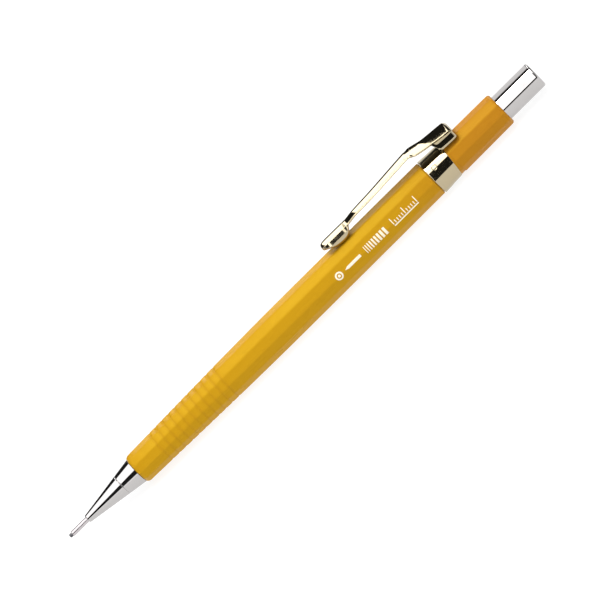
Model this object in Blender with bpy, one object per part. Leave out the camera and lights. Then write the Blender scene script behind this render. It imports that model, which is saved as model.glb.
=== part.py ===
"""Push-button mechanical pencil for 0.9 mm lead, lying along X with its clip straight up.

The tip points along -X and the push cap along +X. The origin is under the middle of the
pencil, at the lowest point of the clip band. Design sizes are in millimetres: a "station"
is the distance from the lead's tip along the pencil, and radii are from its long axis.
"""

import math

import bmesh
import bpy
from mathutils import Vector

MM = 0.001

# Overall sizes
LENGTH = 147.0
BAND_RADIUS = 4.68
AXIS_HEIGHT = BAND_RADIUS
LEAD_RADIUS = 0.45

# Stations of the outer parts
PIPE_FRONT = 0.85
CONE_FRONT = 5.6
CONE_BREAK = 16.65
CONE_BASE = 21.2
BARREL_FRONT = 21.35
BARREL_REAR = 136.2
CAP_FRONT = 131.0

# Tip
CONE_FRONT_RADIUS = 1.0
CONE_BREAK_RADIUS = 2.62
CONE_BASE_RADIUS = 3.3
SHANK_RADIUS = 2.72
SHANK_REAR = 26.0
CLUTCH_ROOM = 2.25
PIPE_RADIUS = 0.66
PIPE_BORE = 0.53
PIPE_REAR = 10.8

# Barrel
SIDES = 12
CORNER_CUT = 0.13
BORE_THREAD = 2.85
BORE_TUBE = 2.45
BORE_REAR = 3.6
FLANGE_SHOULDER = 27.35
REAR_BORE_FRONT = 118.0
NECK_RADIUS = 4.25
NECK_FRONT = 114.1
NECK_REAR = 120.85
GROOVE_COUNT = 11
GROOVE_FIRST = 29.0
GROOVE_PITCH = 2.05
GROOVE_HALF_WIDTH = 0.26
GROOVE_DEPTH = 0.14

# Clip
BAND_FRONT = 114.3
BAND_REAR_TOP = 120.6
BAND_REAR_BOTTOM = 119.5
BAND_WALL = 0.36
TAB_REAR = 124.3
TAB_WIDTH = 3.4
TAB_BOTTOM = 4.52
TAB_TOP = 4.92
FLEX_STATION = 124.0
FLEX_HEIGHT = 5.7

# Lead mechanism
STEM_RADIUS = 1.0
STEM_BORE = 0.55
STEM_FRONT = 24.2
STEM_REAR = 36.0
JAW_FRONT = 16.4
JAW_REAR = 24.1
JAW_HEAD_REAR = 19.2
JAW_NECK = 20.2
JAW_HEAD_RADIUS = 1.35
JAW_BORE = 0.5
JAW_SLIT = 0.16
JAW_HINGE_RADIUS = 0.75
RING_FRONT = 18.2
RING_REAR = 20.8
RING_RADIUS = 2.05
RING_BORE = 1.55
SLEEVE_FRONT = 20.95
SLEEVE_FLANGE_FRONT = 26.15
SLEEVE_FLANGE_REAR = 27.2
SLEEVE_REAR = 34.2
SLEEVE_RADIUS = 2.1
SLEEVE_BORE = 1.75
SLEEVE_SEAT = 22.3
SLEEVE_SEAT_BORE = 1.18
SPRING_FRONT = 22.5
SPRING_REAR = 33.4
SPRING_RADIUS = 1.4
SPRING_WIRE = 0.18
SPRING_TURNS = 7.5
COUPLER_FRONT = 33.8
COUPLER_FLANGE = 37.0
COUPLER_REAR = 41.0
TUBE_RADIUS = 1.95
TUBE_BORE = 1.35
SOCKET_RADIUS = 2.75
SOCKET_BORE = 2.15
SOCKET_FRONT = 128.0
SOCKET_REAR = 138.5
ERASER_RADIUS = 2.05
ERASER_FRONT = 130.0
ERASER_REAR = 143.0
WRITING_LEAD = 38.5
SPARE_COUNT = 3
SPARE_FRONT = 43.5
SPARE_LENGTH = 60.0
SPARE_OFFSET = 0.62
CAP_RADIUS = 3.3
CAP_WALL = 0.4
CAP_EDGE = 0.5
PIN_FRONT = 112.0
PIN_REAR = 134.0
PIN_RADIUS = 0.28
PIN_CLEARANCE = 0.04

# Numbers of sides round a turned piece
FINE = 48
COARSE = 24


def place(station, side=0.0, height=0.0):
    """A point in world metres from a station and offsets from the long axis, all in mm."""
    return Vector(((station - LENGTH / 2) * MM, side * MM, (AXIS_HEIGHT + height) * MM))


def clear_scene():
    for thing in list(bpy.data.objects):
        bpy.data.objects.remove(thing, do_unlink=True)


def paint(name, colour, roughness, metallic=0.0):
    material = bpy.data.materials.new(name)
    material.use_nodes = True
    shader = material.node_tree.nodes["Principled BSDF"]
    shader.inputs["Base Color"].default_value = (*colour, 1.0)
    shader.inputs["Roughness"].default_value = roughness
    shader.inputs["Metallic"].default_value = metallic
    return material


def make_materials():
    return {
        "body": paint("yellow_plastic", (0.80, 0.42, 0.03), 0.35),
        "chrome": paint("chrome", (0.85, 0.85, 0.84), 0.08, 1.0),
        "clip": paint("clip_steel", (0.80, 0.79, 0.73), 0.12, 1.0),
        "pipe": paint("pipe_steel", (0.70, 0.70, 0.70), 0.2, 1.0),
        "brass": paint("brass", (0.75, 0.55, 0.22), 0.25, 1.0),
        "spring": paint("spring_steel", (0.60, 0.60, 0.60), 0.3, 1.0),
        "rubber": paint("retainer_rubber", (0.03, 0.03, 0.03), 0.8),
        "tube": paint("tube_plastic", (0.85, 0.84, 0.78), 0.45),
        "sleeve": paint("sleeve_plastic", (0.10, 0.10, 0.11), 0.5),
        "graphite": paint("graphite", (0.05, 0.05, 0.055), 0.45),
        "eraser": paint("eraser_vinyl", (0.88, 0.87, 0.84), 0.75),
    }


def empty_at(name, point, parent=None):
    """An empty on a joint's axis, which carries the pieces that move about it."""
    empty = bpy.data.objects.new(name, None)
    empty.empty_display_size = 2 * MM
    bpy.context.collection.objects.link(empty)
    if parent is not None:
        empty.parent = parent
        point = point - world_point(parent)
    empty.location = point
    return empty


def world_point(thing):
    point = thing.location.copy()
    while thing.parent is not None:
        thing = thing.parent
        point += thing.location
    return point


def add_object(name, mesh_builder, material, parent):
    """Turn a bmesh in world metres into an object whose origin is its parent's."""
    origin = world_point(parent)
    bmesh.ops.remove_doubles(mesh_builder, verts=mesh_builder.verts, dist=1e-7)
    bmesh.ops.recalc_face_normals(mesh_builder, faces=mesh_builder.faces)
    bmesh.ops.translate(mesh_builder, verts=mesh_builder.verts, vec=-origin)
    mesh = bpy.data.meshes.new(name)
    mesh_builder.to_mesh(mesh)
    mesh_builder.free()
    mesh.shade_smooth()
    mesh.set_sharp_from_angle(angle=math.radians(20))
    thing = bpy.data.objects.new(name, mesh)
    bpy.context.collection.objects.link(thing)
    thing.data.materials.append(material)
    thing.parent = parent
    return thing


def spin_outline(outline, sides, side=0.0, height=0.0):
    """Spin a closed outline of (station, radius) points about a line along X."""
    builder = bmesh.new()
    verts = [builder.verts.new(place(station, side, height + radius)) for station, radius in outline]
    edges = []
    for index, vert in enumerate(verts):
        following = verts[(index + 1) % len(verts)]
        on_axis = outline[index][1] == 0 and outline[(index + 1) % len(verts)][1] == 0
        if not on_axis:
            edges.append(builder.edges.new((vert, following)))
    bmesh.ops.spin(
        builder, geom=verts + edges, cent=place(0, side, height), axis=(1, 0, 0),
        angle=math.tau, steps=sides, use_merge=True,
    )
    return builder


def turned(name, outline, sides, material, parent):
    return add_object(name, spin_outline(outline, sides), material, parent)


def skin(rings, closed):
    """Join rings of equal length with four-sided faces, round to the first if closed."""
    builder = bmesh.new()
    loops = [[builder.verts.new(point) for point in ring] for ring in rings]
    pairs = list(zip(loops, loops[1:]))
    if closed:
        pairs.append((loops[-1], loops[0]))
    else:
        builder.faces.new(loops[0])
        builder.faces.new(loops[-1])
    count = len(rings[0])
    for near, far in pairs:
        for index in range(count):
            following = (index + 1) % count
            builder.faces.new((near[index], near[following], far[following], far[index]))
    return builder


def faceted_ring(station, apothem):
    """A twelve-sided slice whose facets face the clip, with each corner cut off narrowly."""
    reach = apothem / math.cos(math.pi / SIDES)
    corners = []
    for index in range(SIDES):
        angle = (index + 0.5) * math.tau / SIDES
        corners.append(Vector((math.sin(angle) * reach, math.cos(angle) * reach)))
    points = []
    for index, corner in enumerate(corners):
        for neighbour in (corners[index - 1], corners[(index + 1) % SIDES]):
            cut = corner.lerp(neighbour, CORNER_CUT)
            points.append(place(station, cut.x, cut.y))
    return points


def round_ring(station, radius):
    """A round slice with its points at the same angles as those of a faceted one."""
    points = []
    for index in range(SIDES):
        for turn in (-1, 1):
            half_cut = math.atan(math.tan(math.pi / SIDES) * (1 - 2 * CORNER_CUT))
            angle = (index + 0.5 + turn * 0.5) * math.tau / SIDES - turn * half_cut
            points.append(place(station, math.sin(angle) * radius, math.cos(angle) * radius))
    return points


def body_apothem(station):
    """Distance from the axis to a facet: a taper from the grip up to a long straight run."""
    knots = ((22.2, 3.8), (33.5, 4.05), (44.7, 4.28), (56.0, 4.48), (67.0, 4.575), (90.0, 4.575), (114.1, 4.53))
    for (start, low), (end, high) in zip(knots, knots[1:]):
        if station <= end:
            return low + (high - low) * (station - start) / (end - start)
    return knots[-1][1]


def make_barrel(material, parent):
    front = [(BARREL_FRONT, 3.38), (21.55, 3.62), (22.2, 3.8)]
    rings = [faceted_ring(station, apothem) for station, apothem in front]
    for groove in range(GROOVE_COUNT):
        middle = GROOVE_FIRST + groove * GROOVE_PITCH
        for offset, depth in ((-1, 0), (-0.35, 1), (0.35, 1), (1, 0)):
            station = middle + offset * GROOVE_HALF_WIDTH
            rings.append(faceted_ring(station, body_apothem(station) - depth * GROOVE_DEPTH))
    for station in (56.0, 67.0, 90.0, NECK_FRONT):
        rings.append(faceted_ring(station, body_apothem(station)))
    rings.append(round_ring(NECK_FRONT, NECK_RADIUS))
    rings.append(round_ring(NECK_REAR, NECK_RADIUS))
    rear = [(NECK_REAR, 4.36), (135.3, 4.27), (135.9, 4.16), (BARREL_REAR, 3.92)]
    rings += [faceted_ring(station, apothem) for station, apothem in rear]
    bore = [
        (BARREL_REAR, BORE_REAR), (REAR_BORE_FRONT, BORE_REAR), (REAR_BORE_FRONT - 1.0, BORE_TUBE),
        (FLANGE_SHOULDER, BORE_TUBE), (FLANGE_SHOULDER, BORE_THREAD), (BARREL_FRONT, BORE_THREAD),
    ]
    rings += [round_ring(station, radius) for station, radius in bore]
    return add_object("barrel", skin(rings, closed=True), material, parent)


def make_tip(materials, parent):
    """The screwed cone with its shank, the lead's guide pipe and the rubber lead retainer."""
    cone = [
        (CONE_FRONT, CONE_FRONT_RADIUS - 0.15), (CONE_FRONT + 0.15, CONE_FRONT_RADIUS),
        (CONE_BREAK - 0.12, CONE_BREAK_RADIUS), (CONE_BREAK, CONE_BREAK_RADIUS - 0.06),
        (CONE_BREAK + 0.1, CONE_BREAK_RADIUS + 0.04), (19.0, 3.02), (CONE_BASE, CONE_BASE_RADIUS),
        (CONE_BASE, SHANK_RADIUS), (SHANK_REAR - 0.3, SHANK_RADIUS), (SHANK_REAR, SHANK_RADIUS - 0.22),
        (SHANK_REAR, CLUTCH_ROOM), (17.05, CLUTCH_ROOM), (16.6, 1.78), (13.7, 1.78), (13.5, 1.32),
        (10.95, 1.32), (10.95, 0.7), (CONE_FRONT, 0.7),
    ]
    turned("tip_cone", cone, FINE, materials["chrome"], parent)
    pipe = [
        (PIPE_FRONT + 0.08, PIPE_RADIUS), (PIPE_REAR, PIPE_RADIUS), (PIPE_REAR, PIPE_BORE),
        (PIPE_FRONT, PIPE_BORE), (PIPE_FRONT, PIPE_RADIUS - 0.06),
    ]
    turned("lead_sleeve", pipe, COARSE, materials["pipe"], parent)
    retainer = [(11.05, 1.25), (13.3, 1.25), (13.4, 1.1), (13.4, 0.7), (12.6, 0.48), (11.05, 0.48)]
    turned("lead_retainer", retainer, COARSE, materials["rubber"], parent)


def make_spring_sleeve(material, parent):
    outline = [
        (SLEEVE_FRONT, SLEEVE_RADIUS - 0.05), (SLEEVE_FLANGE_FRONT, SLEEVE_RADIUS - 0.05),
        (SLEEVE_FLANGE_FRONT, 2.7), (SLEEVE_FLANGE_REAR, 2.7), (SLEEVE_FLANGE_REAR, SLEEVE_RADIUS),
        (SLEEVE_REAR, SLEEVE_RADIUS), (SLEEVE_REAR, SLEEVE_BORE), (SLEEVE_SEAT, SLEEVE_BORE),
        (SLEEVE_SEAT, SLEEVE_SEAT_BORE), (SLEEVE_FRONT, SLEEVE_SEAT_BORE),
    ]
    return turned("spring_sleeve", outline, COARSE, material, parent)


def make_clutch_ring(material, parent):
    outline = [
        (RING_FRONT, RING_RADIUS - 0.15), (RING_FRONT + 0.15, RING_RADIUS), (RING_REAR, RING_RADIUS),
        (RING_REAR, RING_BORE - 0.25), (RING_FRONT + 1.8, RING_BORE), (RING_FRONT, RING_BORE),
    ]
    return turned("clutch_ring", outline, COARSE, material, parent)


def make_jaw(name, index, material, parent):
    """A third of the split collet: a stepped wedge between two slits, round the lead."""
    profile = [
        (JAW_FRONT, 1.1), (JAW_FRONT + 0.3, JAW_HEAD_RADIUS), (JAW_HEAD_REAR, JAW_HEAD_RADIUS),
        (JAW_NECK, STEM_RADIUS), (JAW_REAR, STEM_RADIUS),
    ]
    steps = 8
    middle = math.tau * index / 3
    rings = []
    for station, radius in profile:
        inner = []
        outer = []
        for step in range(steps + 1):
            share = step / steps * 2 - 1
            for reach, points in ((JAW_BORE, inner), (radius, outer)):
                half_angle = math.pi / 3 - math.asin(JAW_SLIT / 2 / reach)
                angle = middle + share * half_angle
                points.append(place(station, math.sin(angle) * reach, math.cos(angle) * reach))
        rings.append(outer + inner[::-1])
    return add_object(name, skin(rings, closed=False), material, parent)


def make_chuck_stem(material, parent):
    outline = [
        (STEM_FRONT, STEM_RADIUS), (STEM_REAR, STEM_RADIUS), (STEM_REAR, STEM_BORE), (STEM_FRONT, STEM_BORE),
    ]
    return turned("chuck_stem", outline, COARSE, material, parent)


def make_spring(material, parent):
    """A steel wire helix round the chuck's stem, seated between the sleeve and the coupler."""
    points_per_turn = 14
    count = int(SPRING_TURNS * points_per_turn) + 1
    curve = bpy.data.curves.new("return_spring", "CURVE")
    curve.dimensions = "3D"
    curve.bevel_depth = SPRING_WIRE * MM
    curve.bevel_resolution = 1
    curve.use_fill_caps = True
    spline = curve.splines.new("POLY")
    spline.points.add(count - 1)
    origin = world_point(parent)
    run = SPRING_REAR - SPRING_FRONT - 2 * SPRING_WIRE
    for index, point in enumerate(spline.points):
        turn = index / points_per_turn * math.tau
        station = SPRING_FRONT + SPRING_WIRE + run * index / (count - 1)
        spot = place(station, math.sin(turn) * SPRING_RADIUS, math.cos(turn) * SPRING_RADIUS) - origin
        point.co = (*spot, 1.0)
    spring = bpy.data.objects.new("return_spring", curve)
    bpy.context.collection.objects.link(spring)
    curve.materials.append(material)
    spring.parent = parent
    return spring


def make_coupler(material, parent):
    outline = [
        (COUPLER_FRONT, 1.6), (COUPLER_FLANGE, 1.6), (COUPLER_FLANGE, TUBE_RADIUS),
        (COUPLER_FLANGE + 0.6, TUBE_RADIUS),
        (COUPLER_FLANGE + 0.6, 1.28), (COUPLER_REAR, 1.28), (COUPLER_REAR, 1.08), (38.5, 0.58),
        (36.1, 0.58), (36.1, 1.06), (COUPLER_FRONT, 1.06),
    ]
    return turned("tube_coupler", outline, COARSE, material, parent)


def make_lead_tube(material, parent):
    front = COUPLER_FLANGE + 0.75
    outline = [
        (front, TUBE_RADIUS), (SOCKET_FRONT - 1.5, TUBE_RADIUS), (SOCKET_FRONT, SOCKET_RADIUS),
        (SOCKET_REAR - 0.3, SOCKET_RADIUS), (SOCKET_REAR, SOCKET_RADIUS - 0.2), (SOCKET_REAR, SOCKET_BORE),
        (ERASER_FRONT - 0.15, SOCKET_BORE), (ERASER_FRONT - 0.15, TUBE_BORE), (front, TUBE_BORE),
    ]
    return turned("lead_tube", outline, COARSE, material, parent)


def make_lead(name, front, length, side, height, material, parent):
    outline = [
        (front, 0.0), (front, LEAD_RADIUS - 0.04), (front + 0.06, LEAD_RADIUS),
        (front + length, LEAD_RADIUS), (front + length, 0.0),
    ]
    builder = spin_outline(outline, COARSE, side, height)
    return add_object(name, builder, material, parent)


def make_spare_leads(material, parent):
    for index in range(SPARE_COUNT):
        angle = (index + 0.5) * math.tau / SPARE_COUNT
        side = math.sin(angle) * SPARE_OFFSET
        height = math.cos(angle) * SPARE_OFFSET
        name = f"spare_lead_{index + 1}"
        make_lead(name, SPARE_FRONT, SPARE_LENGTH, side, height, material, parent)


def make_eraser(materials, parent):
    """The vinyl plug with the wire for clearing a jammed tip set in its front end."""
    hole = PIN_RADIUS + PIN_CLEARANCE
    outline = [
        (ERASER_FRONT, hole), (ERASER_FRONT, ERASER_RADIUS), (ERASER_REAR - 0.4, ERASER_RADIUS),
        (ERASER_REAR, ERASER_RADIUS - 0.4), (ERASER_REAR, 0.0), (PIN_REAR + 0.1, 0.0), (PIN_REAR + 0.1, hole),
    ]
    turned("eraser", outline, COARSE, materials["eraser"], parent)
    pin = [(PIN_FRONT, 0.0), (PIN_FRONT + 0.3, PIN_RADIUS), (PIN_REAR, PIN_RADIUS), (PIN_REAR, 0.0)]
    turned("cleaning_pin", pin, COARSE, materials["pipe"], parent)


def make_push_cap(material, parent):
    inner = CAP_RADIUS - CAP_WALL
    outline = [(CAP_FRONT, CAP_RADIUS - 0.1), (CAP_FRONT + 0.1, CAP_RADIUS)]
    for step in range(5):
        angle = math.pi / 2 * step / 4
        station = LENGTH - CAP_EDGE + math.sin(angle) * CAP_EDGE
        outline.append((station, CAP_RADIUS - CAP_EDGE + math.cos(angle) * CAP_EDGE))
    outline += [(LENGTH, 0.0), (LENGTH - 0.5, 0.0), (LENGTH - 0.5, inner - 0.3), (LENGTH - 0.8, inner)]
    outline.append((CAP_FRONT, inner))
    return turned("push_cap", outline, FINE, material, parent)


def make_clip_band(material, parent):
    """A rolled ring with a slanted rear edge and a short tab on top, under the clip's root."""
    inner = BAND_RADIUS - BAND_WALL
    edge = 0.08
    outline = [
        (BAND_FRONT, BAND_RADIUS - edge), (BAND_FRONT + edge, BAND_RADIUS), (BAND_REAR_TOP - edge, BAND_RADIUS),
        (BAND_REAR_TOP, BAND_RADIUS - edge), (BAND_REAR_TOP, inner), (BAND_FRONT, inner),
    ]
    ring = spin_outline(outline, FINE)
    middle = place((BAND_FRONT + BAND_REAR_TOP) / 2).x
    for vert in ring.verts:
        if vert.co.x > middle:
            drop = (1 - (vert.co.z / MM - AXIS_HEIGHT) / BAND_RADIUS) / 2
            vert.co.x -= drop * (BAND_REAR_TOP - BAND_REAR_BOTTOM) * MM
    band = add_object("clip_band", ring, material, parent)
    tab = bmesh.new()
    bmesh.ops.create_cube(tab, size=1.0)
    tab_front = BAND_REAR_TOP - 0.9
    size = Vector((TAB_REAR - tab_front, TAB_WIDTH, TAB_TOP - TAB_BOTTOM)) * MM
    bmesh.ops.scale(tab, verts=tab.verts, vec=size)
    centre = place((TAB_REAR + tab_front) / 2, 0.0, (TAB_TOP + TAB_BOTTOM) / 2)
    bmesh.ops.translate(tab, verts=tab.verts, vec=centre)
    cutter = add_object("band_tab", tab, material, parent)
    cutter.hide_render = True
    cutter.display_type = "WIRE"
    union = band.modifiers.new("tab", "BOOLEAN")
    union.operation = "UNION"
    union.solver = "EXACT"
    union.object = cutter
    return band


def clip_slice(station, width, top, skirt, roof, foot):
    """Ten points round one slice of the clip: crowned top, side skirts and the underside."""
    half = width / 2
    edge = 0.22
    wall = min(0.4, foot * 0.45)
    side = [
        (half - edge, top), (half, top - edge), (foot, top - skirt),
        (foot - wall, top - skirt), (foot - wall, top - roof),
    ]
    outline = side + [(-across, height) for across, height in reversed(side)]
    return [place(station, across, height) for across, height in outline]


def make_clip_arm(material, parent):
    """The sprung strip: a boat-shaped ball end, a straight arm and a boxed root."""
    slices = [
        # station, width, top, skirt, roof, half-width of the lower edge
        (85.95, 1.5, 7.25, 0.70, 0.65, 0.50),
        (86.3, 2.0, 7.40, 0.95, 0.90, 0.70),
        (87.0, 2.45, 7.47, 1.27, 1.22, 0.85),
        (88.5, 2.62, 7.48, 2.13, 2.08, 0.85),
        (90.0, 2.62, 7.47, 2.57, 2.52, 0.80),
        (91.5, 2.60, 7.47, 2.60, 2.55, 0.80),
        (92.3, 2.60, 7.46, 2.30, 2.25, 0.80),
        (93.0, 2.56, 7.46, 1.70, 1.65, 0.85),
        (93.8, 2.52, 7.47, 0.62, 0.50, 1.20),
        (96.5, 2.55, 7.83, 0.50, 0.45, 1.25),
        (99.0, 2.68, 7.94, 0.50, 0.45, 1.32),
        (106.0, 2.92, 8.34, 0.50, 0.45, 1.44),
        (113.6, 3.15, 8.88, 0.50, 0.45, 1.55),
        (115.1, 4.50, 8.51, 0.50, 0.45, 2.23),
        (118.0, 4.55, 7.79, 0.50, 0.45, 2.25),
        (119.4, 4.55, 7.55, 0.60, 0.45, 2.40),
        (120.4, 4.62, 7.42, 2.55, 0.45, 2.80),
        (124.55, 4.85, 6.89, 2.25, 0.45, 2.85),
        (124.62, 4.85, 6.88, 2.24, 1.60, 2.80),
        (124.9, 4.60, 6.65, 1.98, 1.35, 2.70),
        (125.1, 4.20, 6.10, 1.40, 0.85, 2.50),
    ]
    rings = [clip_slice(*numbers) for numbers in slices]
    return add_object("clip_arm", skin(rings, closed=False), material, parent)


def main():
    clear_scene()
    materials = make_materials()
    body = empty_at("body_frame", place(LENGTH / 2))
    tip = empty_at("tip_slide", place(CONE_BASE), body)
    push = empty_at("push_slide", place(CAP_FRONT), body)
    clutch = empty_at("clutch_slide", place(RING_FRONT), body)
    feed = empty_at("feed_slide", place(0.0), body)
    clip = empty_at("clip_turn", place(BAND_FRONT), body)
    make_barrel(materials["body"], body)
    make_spring_sleeve(materials["sleeve"], body)
    make_spring(materials["spring"], body)
    make_tip(materials, tip)
    make_clutch_ring(materials["brass"], clutch)
    make_lead("writing_lead", 0.0, WRITING_LEAD, 0.0, 0.0, materials["graphite"], feed)
    make_chuck_stem(materials["brass"], push)
    for index in range(3):
        angle = math.tau * index / 3
        side = math.sin(angle) * JAW_HINGE_RADIUS
        height = math.cos(angle) * JAW_HINGE_RADIUS
        hinge = empty_at(f"jaw_hinge_{index + 1}", place(JAW_REAR, side, height), push)
        make_jaw(f"chuck_jaw_{index + 1}", index, materials["brass"], hinge)
    make_coupler(materials["sleeve"], push)
    make_lead_tube(materials["tube"], push)
    make_spare_leads(materials["graphite"], push)
    eraser = empty_at("eraser_slide", place(ERASER_FRONT), push)
    make_eraser(materials, eraser)
    cap = empty_at("cap_slide", place(CAP_FRONT), push)
    make_push_cap(materials["chrome"], cap)
    make_clip_band(materials["clip"], clip)
    flex = empty_at("clip_flex", place(FLEX_STATION, 0.0, FLEX_HEIGHT), clip)
    make_clip_arm(materials["clip"], flex)


main()
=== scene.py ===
"""The looks of a push-button mechanical pencil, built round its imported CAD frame.

Lengths are in millimetres until place() turns them into world metres. A station is the
distance from the lead's tip along the pencil; heights and radii are from its long axis.
"""

import math

import bmesh
import bpy
from mathutils import Matrix, Vector, noise


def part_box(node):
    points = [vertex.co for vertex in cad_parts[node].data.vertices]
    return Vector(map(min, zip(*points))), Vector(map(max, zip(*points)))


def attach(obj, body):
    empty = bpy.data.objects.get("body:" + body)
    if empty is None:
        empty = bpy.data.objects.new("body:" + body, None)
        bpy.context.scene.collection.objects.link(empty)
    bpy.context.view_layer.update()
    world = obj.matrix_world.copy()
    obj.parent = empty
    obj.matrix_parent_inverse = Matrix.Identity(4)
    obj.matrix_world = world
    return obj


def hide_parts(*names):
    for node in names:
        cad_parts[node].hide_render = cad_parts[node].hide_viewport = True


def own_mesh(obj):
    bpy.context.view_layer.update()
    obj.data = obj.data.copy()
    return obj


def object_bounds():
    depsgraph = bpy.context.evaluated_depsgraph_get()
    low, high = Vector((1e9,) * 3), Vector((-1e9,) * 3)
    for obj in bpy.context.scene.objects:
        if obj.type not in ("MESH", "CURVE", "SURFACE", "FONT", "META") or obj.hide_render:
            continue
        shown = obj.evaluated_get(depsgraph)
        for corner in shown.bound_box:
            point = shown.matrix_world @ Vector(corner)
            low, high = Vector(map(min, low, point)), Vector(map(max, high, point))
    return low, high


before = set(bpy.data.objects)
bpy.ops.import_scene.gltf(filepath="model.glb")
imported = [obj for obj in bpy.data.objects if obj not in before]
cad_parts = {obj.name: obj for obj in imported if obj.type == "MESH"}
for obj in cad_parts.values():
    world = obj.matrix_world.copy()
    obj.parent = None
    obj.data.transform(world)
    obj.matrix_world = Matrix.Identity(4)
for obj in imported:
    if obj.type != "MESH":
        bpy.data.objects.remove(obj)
cad_low, cad_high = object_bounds()

MM = 0.001
TIP_X = cad_low.x
LENGTH = (cad_high.x - cad_low.x) / MM
AXIS_Z = sum(corner.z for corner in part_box("push_cap")) / 2

SIDES = 12
CORNER_SHARE = 0.26
ROUND = 96


def span(node):
    """The first and last station of a CAD node."""
    low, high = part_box(node)
    return (low.x - TIP_X) / MM, (high.x - TIP_X) / MM


def place(station, side=0.0, height=0.0):
    return Vector((TIP_X + station * MM, side * MM, AXIS_Z + height * MM))


# ---------------------------------------------------------------- mesh helpers


def finish_mesh(name, builder, material, body, replaced=(), sharp=32, creases=()):
    """Turn a bmesh in world metres into a piece on a CAD body, creased at some stations."""
    bmesh.ops.remove_doubles(builder, verts=builder.verts, dist=2e-8)
    bmesh.ops.recalc_face_normals(builder, faces=builder.faces)
    mesh = bpy.data.meshes.new(name)
    builder.to_mesh(mesh)
    builder.free()
    mesh.shade_smooth()
    mesh.set_sharp_from_angle(angle=math.radians(sharp))
    for edge in mesh.edges:
        ends = [mesh.vertices[index].co.x for index in edge.vertices]
        for station in creases:
            if max(abs(end - place(station).x) for end in ends) < 1e-7:
                edge.use_edge_sharp = True
    mesh.materials.append(material)
    piece = bpy.data.objects.new(name, mesh)
    bpy.context.scene.collection.objects.link(piece)
    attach(piece, body)
    if replaced:
        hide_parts(*replaced)
    return piece


def lathe(outline, sides=ROUND, side=0.0, height=0.0):
    """Spin a closed outline of (station, radius) points about a line along X."""
    builder = bmesh.new()
    verts = [builder.verts.new(place(station, side, height + radius)) for station, radius in outline]
    edges = []
    for index, vert in enumerate(verts):
        after = (index + 1) % len(verts)
        if outline[index][1] > 0 or outline[after][1] > 0:
            edges.append(builder.edges.new((vert, verts[after])))
    bmesh.ops.spin(
        builder, geom=verts + edges, cent=place(0, side, height), axis=(1, 0, 0),
        angle=math.tau, steps=sides, use_merge=True,
    )
    return builder


def skin(rings, closed):
    """Join rings of equal length with four-sided faces, round to the first if closed."""
    builder = bmesh.new()
    loops = [[builder.verts.new(point) for point in ring] for ring in rings]
    pairs = list(zip(loops, loops[1:]))
    if closed:
        pairs.append((loops[-1], loops[0]))
    else:
        builder.faces.new(loops[0])
        builder.faces.new(loops[-1])
    count = len(rings[0])
    for near, far in pairs:
        for index in range(count):
            after = (index + 1) % count
            builder.faces.new((near[index], near[after], far[after], far[index]))
    return builder


def arc(centre_station, centre_radius, radius, start, end, steps=5):
    """Points of an arc in the (station, radius) plane, in degrees from the +station side."""
    points = []
    for step in range(steps + 1):
        angle = math.radians(start + (end - start) * step / steps)
        station = centre_station + math.cos(angle) * radius
        points.append((station, centre_radius + math.sin(angle) * radius))
    return points


def curve_through(knots, at):
    """Smooth value at a position, through (position, value) knots, with no overshoot."""
    slopes = [(b[1] - a[1]) / (b[0] - a[0]) for a, b in zip(knots, knots[1:])]
    tangents = [slopes[0]]
    for before, after in zip(slopes, slopes[1:]):
        tangents.append(2 * before * after / (before + after) if before * after > 0 else 0.0)
    tangents.append(slopes[-1])
    at = min(max(at, knots[0][0]), knots[-1][0])
    for index, (a, b) in enumerate(zip(knots, knots[1:])):
        if at <= b[0]:
            gap = b[0] - a[0]
            t = (at - a[0]) / gap
            rise = (1 + 2 * t) * (1 - t) ** 2 * a[1] + t * t * (3 - 2 * t) * b[1]
            leaving, arriving = tangents[index], tangents[index + 1]
            return rise + gap * (t * (1 - t) ** 2 * leaving + t * t * (t - 1) * arriving)
    return knots[-1][1]


# ------------------------------------------------------------ material helpers


def new_material(name, colour, roughness, metallic=0.0, **inputs):
    material = bpy.data.materials.new(name)
    material.use_nodes = True
    shader = material.node_tree.nodes["Principled BSDF"]
    shader.inputs["Base Color"].default_value = (*colour, 1)
    shader.inputs["Roughness"].default_value = roughness
    shader.inputs["Metallic"].default_value = metallic
    for socket, value in inputs.items():
        shader.inputs[socket.replace("_", " ")].default_value = value
    return material


def add_node(material, kind, settings=None, **inputs):
    node = material.node_tree.nodes.new(kind)
    for key, value in (settings or {}).items():
        setattr(node, key, value)
    for socket, value in inputs.items():
        target = node.inputs[socket.replace("_", " ")]
        if isinstance(value, bpy.types.NodeSocket):
            material.node_tree.links.new(value, target)
        else:
            target.default_value = value
    return node


def stretched(material, stretch):
    """Object coordinates, stretched by a factor on each axis."""
    coords = add_node(material, "ShaderNodeTexCoord")
    mapping = add_node(material, "ShaderNodeMapping", Vector=coords.outputs["Object"], Scale=stretch)
    return mapping.outputs["Vector"]


def noise_value(material, scale, detail=4.0, stretch=(1, 1, 1), roughness=0.55):
    texture = add_node(
        material, "ShaderNodeTexNoise", Vector=stretched(material, stretch), Scale=scale,
        Detail=detail, Roughness=roughness,
    )
    return texture.outputs["Fac"]


def remap(material, value, low, high, from_low=0.3, from_high=0.7):
    node = add_node(material, "ShaderNodeMapRange", Value=value)
    node.inputs["From Min"].default_value = from_low
    node.inputs["From Max"].default_value = from_high
    node.inputs["To Min"].default_value = low
    node.inputs["To Max"].default_value = high
    return node.outputs["Result"]


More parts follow.
